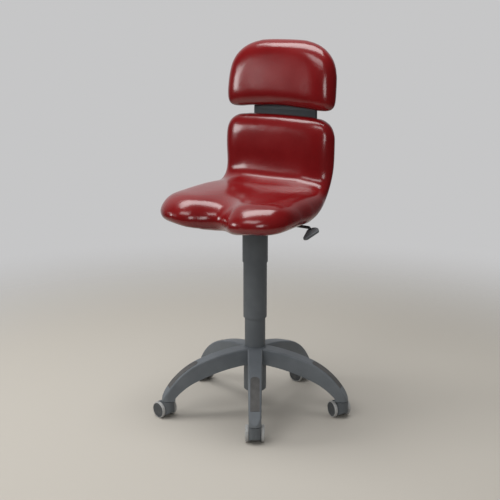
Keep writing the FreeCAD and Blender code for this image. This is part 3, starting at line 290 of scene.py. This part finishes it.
def insert_rubber():
    """Brown-grey rubber of the foot grips, matt with a fine stipple."""
    finish = Finish("insert_rubber", Specular_IOR_Level=0.4)
    cloud = finish.noise(size=0.025, detail=4.0)
    finish.tint(cloud.between(0.3, 0.75))
    finish.set("Roughness", 0.58 + cloud * 0.16)
    finish.bump(finish.cells(size=0.0012), depth=0.0002)
    return finish.material


def wheel_plastic():
    """Dark grey caster discs, a little dusty."""
    finish = Finish("wheel_plastic", Specular_IOR_Level=0.45)
    dust = finish.noise(size=0.012, detail=4.0)
    finish.tint(dust.between(0.45, 0.75))
    finish.set("Roughness", 0.42 + dust * 0.2)
    finish.bump(finish.noise(size=0.0009, detail=2.0), depth=0.0001)
    return finish.material


def tyre_rubber():
    """Light grey soft tyres with a little floor dirt."""
    finish = Finish("tyre_rubber", Specular_IOR_Level=0.4)
    dirt = finish.noise(size=0.007, detail=5.0, roughness=0.6)
    finish.tint(dirt.between(0.48, 0.78))
    finish.set("Roughness", 0.55 + dirt * 0.2)
    finish.bump(finish.noise(size=0.0012, detail=2.0), depth=0.0001)
    return finish.material


def painted_steel(name, roughness):
    """Powder-coated steel with a faint orange-peel skin."""
    finish = Finish(name, Specular_IOR_Level=0.5)
    cloud = finish.noise(size=0.05, detail=3.0)
    peel = finish.noise(size=0.0028, detail=2.0)
    finish.tint(cloud.between(0.3, 0.7))
    finish.set("Roughness", roughness + cloud * 0.08 + peel * 0.05)
    finish.bump(peel, depth=0.00012)
    return finish.material


def plain_steel():
    """Zinc-plated steel, brushed along its length."""
    finish = Finish("plain_steel", Metallic=1.0)
    brush = finish.noise(size=0.0006, detail=2.0, stretch=(1.0, 1.0, 0.06))
    cloud = finish.noise(size=0.02, detail=3.0)
    finish.tint((brush * 0.6 + cloud * 0.4).between(0.3, 0.7))
    finish.set("Roughness", 0.24 + brush * 0.18)
    finish.bump(brush, depth=0.00004)
    return finish.material


def moulded(name, roughness, grain_size, grain_depth):
    """Injection-moulded plastic or rubber with a fine grain."""
    finish = Finish(name, Specular_IOR_Level=0.45)
    cloud = finish.noise(size=0.04, detail=4.0)
    finish.tint(cloud.between(0.3, 0.72))
    finish.set("Roughness", roughness + cloud * 0.12)
    finish.bump(finish.cells(grain_size), grain_depth)
    return finish.material


FINISHES = {
    "leatherette": leatherette(),
    "slate_plastic": slate_plastic("slate_plastic"),
    # The same slate plastic, paler for the base: painted light from the front.
    "base_plastic_painted_lit": slate_plastic("base_plastic_painted_lit"),
    "insert_rubber": insert_rubber(),
    "wheel_plastic": wheel_plastic(),
    "tyre_rubber": tyre_rubber(),
    "black_steel": painted_steel("black_steel", roughness=0.34),
    "slate_steel": painted_steel("slate_steel", roughness=0.36),
    "plain_steel": plain_steel(),
    "guide_plastic": moulded("guide_plastic", roughness=0.4, grain_size=0.0010, grain_depth=0.00005),
    "buffer_rubber": moulded("buffer_rubber", roughness=0.6, grain_size=0.0010, grain_depth=0.0001),
    "shell_plastic": moulded("shell_plastic", roughness=0.45, grain_size=0.0012, grain_depth=0.0002),
    "paddle_plastic": moulded("paddle_plastic", roughness=0.34, grain_size=0.0010, grain_depth=0.0001),
}


def dress_frame():
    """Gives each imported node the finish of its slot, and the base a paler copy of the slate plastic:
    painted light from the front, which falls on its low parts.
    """
    finish_of = {row["node"]: row["material_slot"] for row in frame["record"]["subparts"]}
    finish_of["star_base"] = "base_plastic_painted_lit"
    for name, obj in frame["nodes"].items():
        obj.data.materials.clear()
        obj.data.materials.append(FINISHES[finish_of[name]])


def add_object(name, form):
    """A new object in the scene, made from a bmesh that isn't needed afterwards."""
    mesh = bpy.data.meshes.new(name)
    form.to_mesh(mesh)
    form.free()
    obj = bpy.data.objects.new(name, mesh)
    bpy.context.scene.collection.objects.link(obj)
    return obj


def cap_points(turn):
    """The corners of one cap, on the outer bend of the arm that points this way."""
    spots = [(reach, CAP_TOP) for reach in np.linspace(*CAP_REACH, CAP_STEPS)]
    spots += [(reach, CAP_UNDERSIDE) for reach in CAP_REACH]
    points = []
    for reach, rise in spots:
        slope = math.asin((reach - BEND_REACH) / BEND_RADIUS)
        along = BEND_REACH + (BEND_RADIUS + rise) * math.sin(slope)
        height = BEND_HEIGHT + (BEND_RADIUS + rise) * math.cos(slope)
        for side in (-CAP_HALF_WIDTH, CAP_HALF_WIDTH):
            x = along * math.cos(turn) - side * math.sin(turn)
            y = along * math.sin(turn) + side * math.cos(turn)
            points.append((x, y, height))
    return points


def cap_sockets():
    """Thin caps on the arms' slope, over the slits where the bores of the caster stems come through."""
    form = bmesh.new()
    for number in range(1, CASTER_COUNT + 1):
        low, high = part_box(f"caster_{number}_stem")
        turn = math.atan2(low[1] + high[1], low[0] + high[0])
        corners = [form.verts.new(point) for point in cap_points(turn)]
        bmesh.ops.convex_hull(form, input=corners)
    caps = add_object("socket_caps", form)
    # The caps take the base's paler finish, with its painted light from the front.
    caps.data.materials.append(FINISHES["base_plastic_painted_lit"])
    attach(caps, "base")


def points_of(mesh):
    """The places of a mesh's points, one row each."""
    places = np.empty(len(mesh.vertices) * 3)
    mesh.vertices.foreach_get("co", places)
    return places.reshape(-1, 3)


def normals_of(mesh):
    """The outward directions at a mesh's points, one row each."""
    normals = np.empty(len(mesh.vertices) * 3)
    mesh.vertex_normals.foreach_get("vector", normals)
    return normals.reshape(-1, 3)


def move_points(mesh, places):
    """Puts a mesh's points at these places."""
    mesh.vertices.foreach_set("co", places.astype(np.float32).ravel())
    mesh.update()


def joined_copy(node, name):
    """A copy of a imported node's loose triangles, joined into one closed skin."""
    form = bmesh.new()
    form.from_mesh(frame["nodes"][node].data)
    bmesh.ops.remove_doubles(form, verts=form.verts, dist=JOIN_WITHIN)
    return add_object(name, form)


def bake_modifiers(obj):
    """Puts the result of an object's modifiers into its mesh and removes them."""
    bpy.context.view_layer.update()
    shown = obj.evaluated_get(bpy.context.evaluated_depsgraph_get())
    mesh = bpy.data.meshes.new_from_object(shown)
    obj.modifiers.clear()
    obj.data = mesh


def search_tree(meshes, travel=None):
    """A search tree over the surfaces of some meshes, moved by a matrix if one is given."""
    form = bmesh.new()
    for mesh in meshes:
        form.from_mesh(mesh)
    if travel is not None:
        bmesh.ops.transform(form, matrix=travel, verts=form.verts)
    tree = BVHTree.FromBMesh(form)
    form.free()
    return tree


def ramp(values, low, high):
    """0 at low, 1 at high, smooth between them."""
    share = np.clip((values - low) / (high - low), 0, 1)
    return share * share * (3 - 2 * share)


def bulge(across, half_width):
    """One on the middle plane, falling smoothly to zero at the half width."""
    return (1 + np.cos(np.pi * np.clip(across / half_width, -1, 1))) / 2


def evened(mesh, values, rounds):
    """Values spread over neighbouring points until they run evenly."""
    ends = np.empty(len(mesh.edges) * 2, dtype=np.int32)
    mesh.edges.foreach_get("vertices", ends)
    first, second = ends.reshape(-1, 2).T
    count = len(mesh.vertices)
    links = np.bincount(ends, minlength=count)
    for _ in range(rounds):
        total = np.bincount(first, values[second], count) + np.bincount(second, values[first], count)
        values = (values + total / links) / 2
    return values


def nearest(tree, places):
    """The nearest spots on a surface to these places, and how far away they are."""
    found = [tree.find_nearest(Vector(place)) for place in places]
    spots = np.array([spot for spot, _, _, _ in found])
    distances = np.array([distance for _, _, _, distance in found])
    return spots, distances


def freedom(obj, hard):
    """0 where a hard piece holds the cushion, 1 where it is free to swell."""
    _, distances = nearest(hard, points_of(obj.data))
    return ramp(distances, HELD_NEAR, FREE_FROM)


def even_skin(obj):
    """Even small faces all over."""
    remesh = obj.modifiers.new("skin", "REMESH")
    remesh.mode = "VOXEL"
    remesh.voxel_size = SKIN_VOXEL
    bake_modifiers(obj)


def round_off(across, radius):
    """How far a round corner falls back towards the side of the seat."""
    inwards = np.clip(SEAT_HALF_WIDTH - abs(across), 0, radius)
    return radius - np.sqrt(radius ** 2 - (radius - inwards) ** 2)


def front_line(across, front):
    """The seat's front edge, with its split in the middle and its round corners."""
    split = front["depth"] * bulge(across, front["half_width"])
    return SEAT_FRONT + split + round_off(across, front["corner"])


def nose_share(across, front):
    """How high up the seat's front stands out furthest."""
    lobe, middle = front["noses"]
    return lobe + (middle - lobe) * bulge(across, front["half_width"])


def fill_front(obj, free):
    """Fills the split and the front corners of the seat out to the shape of its cover."""
    places = points_of(obj.data)
    wide, along, high = places.T
    ahead = (SEAT_REAR - along) / (SEAT_REAR - SEAT_FRONT)
    across = wide / (1 + PACKED_FRONT["flare"] * ahead)
    packed = front_line(across, PACKED_FRONT)
    reach = np.clip((SPLIT_ROOT - along) / (SPLIT_ROOT - packed), 0, 1)
    shift = (front_line(across, COVER_FRONT) - packed) * reach * (2 - reach)
    ahead = (SEAT_REAR - along - shift) / (SEAT_REAR - SEAT_FRONT)
    spread = across * (1 + COVER_FRONT["flare"] * ahead) - wide
    near_front = ramp(along, packed + SEAT_FALL, packed)
    move = np.stack([spread, shift, nose_lift(across, high, near_front)], axis=1)
    move_points(obj.data, places + move * free[:, None])


def nose_lift(across, high, near_front):
    """How far points of the seat's front rise or sink, so that it stands out at the cover's height."""
    side = round_off(across, SEAT_SIDE_ROUND)
    floor = SEAT_FLOOR - SEAT_BELLY * bulge(across, SEAT_BELLY_HALF_WIDTH) + SEAT_FLOOR_ROUND * side
    top = SEAT_TOP - SEAT_DISH * bulge(across, SEAT_DISH_HALF_WIDTH) - side
    share = np.clip((high - floor) / (top - floor), LOWEST_SHARE, 1)
    power = np.log(nose_share(across, COVER_FRONT)) / np.log(nose_share(across, PACKED_FRONT))
    power = 1 + (power - 1) * near_front
    return (share ** power - share) * (top - floor)


def relax(obj):
    """Lets the cover run smoothly over bends."""
    every_way = {"use_axis_x": True, "use_axis_y": True, "use_axis_z": True}
    form = bmesh.new()
    form.from_mesh(obj.data)
    for _ in range(RELAX_ROUNDS):
        bmesh.ops.smooth_vert(form, verts=form.verts, factor=RELAX_STEP, **every_way)
    form.to_mesh(obj.data)
    form.free()


def fill(obj, free):
    """Blows the cover up over its filling, as far as the cap allows, in one even swell."""
    cloth = obj.modifiers.new("filling", "CLOTH")
    cloth.settings.quality = FILLING_QUALITY
    cloth.settings.use_pressure = True
    cloth.settings.uniform_pressure_force = FILLING_PRESSURE
    cloth.settings.effector_weights.gravity = 0
    cloth.point_cache.frame_start = 1
    cloth.point_cache.frame_end = FILLING_FRAMES
    start = points_of(obj.data)
    scene = bpy.context.scene
    for number in range(1, FILLING_FRAMES + 1):
        scene.frame_set(number)
    shown = obj.evaluated_get(bpy.context.evaluated_depsgraph_get())
    move = points_of(shown.data) - start
    obj.modifiers.clear()
    scene.frame_set(1)
    outward = normals_of(obj.data)
    swell = np.clip((move * outward).sum(axis=1), 0, FILLING_CAP) * free
    swell = evened(obj.data, swell, FILLING_ROUNDS)
    move_points(obj.data, start + outward * swell[:, None])


def draw_out(obj, pattern):
    """Draws the cover out to its pattern where it lies inside, without sharp bends."""
    places = points_of(obj.data)
    outward = normals_of(obj.data)
    spots, _ = nearest(pattern, places)
    inside = np.clip(((spots - places) * outward).sum(axis=1), 0, PATTERN_REACH)
    inside = evened(obj.data, inside, PATTERN_ROUNDS)
    move_points(obj.data, places + outward * inside[:, None])


def ease_crease(obj):
    """Lets the filling round out the fold between the seat and the lower back."""
    places = points_of(obj.data)
    eased = np.stack([evened(obj.data, places[:, axis], CREASE_ROUNDS) for axis in range(3)], axis=1)
    away = np.hypot(places[:, 1] - CREASE_PLACE[0], places[:, 2] - CREASE_PLACE[1])
    share = ramp(away, CREASE_REACH, CREASE_CORE) * ramp(abs(places[:, 0]), CREASE_SIDE, CREASE_MIDDLE)
    move_points(obj.data, places + (eased - places) * share[:, None])


def at_limit(name, end):
    """How a joint's moving side lies at one end of its range."""
    joint = next(row for row in frame["record"]["behaviour"]["joints"] if row["name"] == name)
    if joint["type"] == "slide":
        return Matrix.Translation(Vector(joint["axis"]) * joint["range_m"][end])
    pivot = Matrix.Translation(joint["pos_m"])
    turn = Matrix.Rotation(math.radians(joint["range_deg"][end]), 4, Vector(joint["axis"]))
    return pivot @ turn @ pivot.inverted()


def keep_clear(obj, node, travel):
    """Draws the cover back from a hard piece at the end of that piece's travel."""
    tree = search_tree([frame["nodes"][node].data], travel)
    places = points_of(obj.data)
    for number, place in enumerate(places):
        spot, normal, _, distance = tree.find_nearest(Vector(place), CLEAR_REACH)
        if spot is None:
            continue
        depth = (Vector(place) - spot).dot(normal)
        if depth < 0 or distance < CLEAR_GAP:
            places[number] = place + np.array(normal) * (CLEAR_GAP - depth)
    move_points(obj.data, places)


def finish_skin(obj, body, node):
    """Smooth shading, subdivision and finish; then hangs the cushion on its body and hides the packed
    solid.
    """
    obj.data.materials.clear()
    obj.data.materials.append(FINISHES["leatherette"])
    obj.data.polygons.foreach_set("use_smooth", [True] * len(obj.data.polygons))
    smooth = obj.modifiers.new("smooth", "SUBSURF")
    smooth.levels = SKIN_SUBDIVISIONS
    smooth.render_levels = SKIN_SUBDIVISIONS
    bake_modifiers(obj)
    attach(obj, body)
    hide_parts(node)


def make_cushion(name, node, body, beside, passing, is_seat=False):
    """A filled cushion in the place of a packed soft solid, clear of a piece that passes it."""
    cushion = joined_copy(node, name)
    even_skin(cushion)
    hard = search_tree([frame["nodes"][piece].data for piece in beside])
    if is_seat:
        fill_front(cushion, freedom(cushion, hard))
    pattern = search_tree([cushion.data])
    relax(cushion)
    free = freedom(cushion, hard)
    slack = normals_of(cushion.data) * SKIN_SLACK * free[:, None]
    move_points(cushion.data, points_of(cushion.data) - slack)
    fill(cushion, free)
    draw_out(cushion, pattern)
    if is_seat:
        ease_crease(cushion)
    keep_clear(cushion, *passing)
    finish_skin(cushion, body, node)


def place_camera():
    """The camera at the photograph's viewing angle."""
    data = bpy.data.cameras.new("camera")
    data.sensor_width = SENSOR_WIDTH
    data.lens = SENSOR_WIDTH * PHOTO_FOCUS / PHOTO_WIDTH
    camera = bpy.data.objects.new("camera", data)
    across = VIEW_DISTANCE * math.sin(VIEW_TURN)
    along = -VIEW_DISTANCE * math.cos(VIEW_TURN)
    camera.location = (across, along, VIEW_HEIGHT)
    camera.rotation_euler = (math.pi / 2 - VIEW_DIP, 0, VIEW_TURN + VIEW_SIDEWAYS)
    bpy.context.scene.collection.objects.link(camera)
    bpy.context.scene.camera = camera


def panel_light(name, place, along, width, height, brightness, towards=LAMPS_AIM):
    """A soft rectangular lamp with its width along a direction and this brightness on its face."""
    data = bpy.data.lights.new(name, "AREA")
    data.shape = "RECTANGLE"
    data.size = width
    data.size_y = height
    data.energy = brightness * math.pi * width * height
    lamp = bpy.data.objects.new(name, data)
    lamp.location = place
    aim = (Vector(towards) - Vector(place)).normalized()
    across = (Vector(along) - aim * aim.dot(Vector(along))).normalized()
    lamp.rotation_euler = Matrix((across, across.cross(aim), -aim)).transposed().to_euler()
    lamp.visible_camera = False
    bpy.context.scene.collection.objects.link(lamp)


def light_studio():
    """Soft light from above, a window side on the left, and a panel in front on the right."""
    panel_light("overhead", place=(-0.50, -0.20, 2.9), along=(0.94, 0.34, 0.0),
                width=2.3, height=1.0, brightness=6.8, towards=(-0.50, -0.20, 0.0))
    panel_light("overhead_front", place=(-0.1, -2.0, 2.6), along=(1.0, 0.0, 0.0),
                width=1.8, height=0.7, brightness=4.2)
    panel_light("window_side", place=(-2.01, -1.69, 1.25), along=(-1.69, 2.01, 0.0),
                width=0.75, height=0.7, brightness=8.0)
    panel_light("front_right", place=(1.50, -2.48, 1.35), along=(1.0, 0.60, 0.0),
                width=0.7, height=1.0, brightness=5.5)


def light_room():
    """A pale backdrop behind the stool, a dark room before it, and even light from above."""
    world = bpy.data.worlds.new("room")
    world.use_nodes = True
    bpy.context.scene.world = world
    start = Wire(world.node_tree, None)
    heading = start.node("ShaderNodeTexCoord", output="Generated")
    behind = (-math.sin(VIEW_TURN), math.cos(VIEW_TURN), BACKDROP_RISE)
    backdrop_side = heading.along(behind).between(*BACKDROP_EDGES)
    upwards = heading.along((0.0, 0.0, 1.0)).between(*EVEN_LIGHT_EDGES)
    even_light = upwards.mixed(grey(EVEN_LIGHT_BELOW), grey(EVEN_LIGHT_ABOVE))
    camera_ray = start.node("ShaderNodeLightPath", output="Is Camera Ray")
    glossy_ray = start.node("ShaderNodeLightPath", output="Is Glossy Ray")
    mirrored_ray = glossy_ray + start.node("ShaderNodeLightPath", output="Is Transmission Ray")
    room = mirrored_ray.mixed(even_light, grey(MIRRORED_ROOM))
    seen = camera_ray + mirrored_ray * backdrop_side
    background = world.node_tree.nodes["Background"]
    start.feed(background.inputs["Color"], seen.mixed(room, BACKDROP_COLOUR))
    background.inputs["Strength"].default_value = 1.0


def lay_floor():
    """A plain pale floor that fades into the backdrop."""
    form = bmesh.new()
    bmesh.ops.create_circle(form, cap_ends=True, radius=FLOOR_RADIUS, segments=FLOOR_SEGMENTS)
    floor = add_object("floor", form)
    finish = Finish("floor", Roughness=0.75, Specular_IOR_Level=0.2)
    finish.set("Base Color", FLOOR_COLOUR)
    far = finish.place.length().between(*FLOOR_FADE)
    shown = Wire(finish.tree, finish.shader.outputs["BSDF"])
    clear = finish.start.node("ShaderNodeBsdfTransparent")
    faded = finish.start.node("ShaderNodeMixShader", None, {0: far, 1: shown, 2: clear})
    finish.start.feed(finish.tree.nodes["Material Output"].inputs["Surface"], faded)
    floor.data.materials.append(finish.material)


# Pieces that pass the cushions: the pulled lever, and the bar, which goes further into the lowered pad
lever_up = ("lever_shaft", at_limit("lever_pull", RANGE_END))
bar_in = ("back_bar", at_limit("back_height", RANGE_START).inverted())
seat_beside = ("seat_shell", "underseat_cover", "lever_shaft")
pad_beside = ("back_carrier", "back_bar")

dress_frame()
cap_sockets()
make_cushion("seat_cover", "seat_cushion", "seat", seat_beside, lever_up, is_seat=True)
make_cushion("upper_pad_cover", "upper_pad", "upper_back", pad_beside, bar_in)
place_camera()
light_studio()
light_room()
lay_floor()
bpy.context.scene.view_settings.view_transform = "Standard"
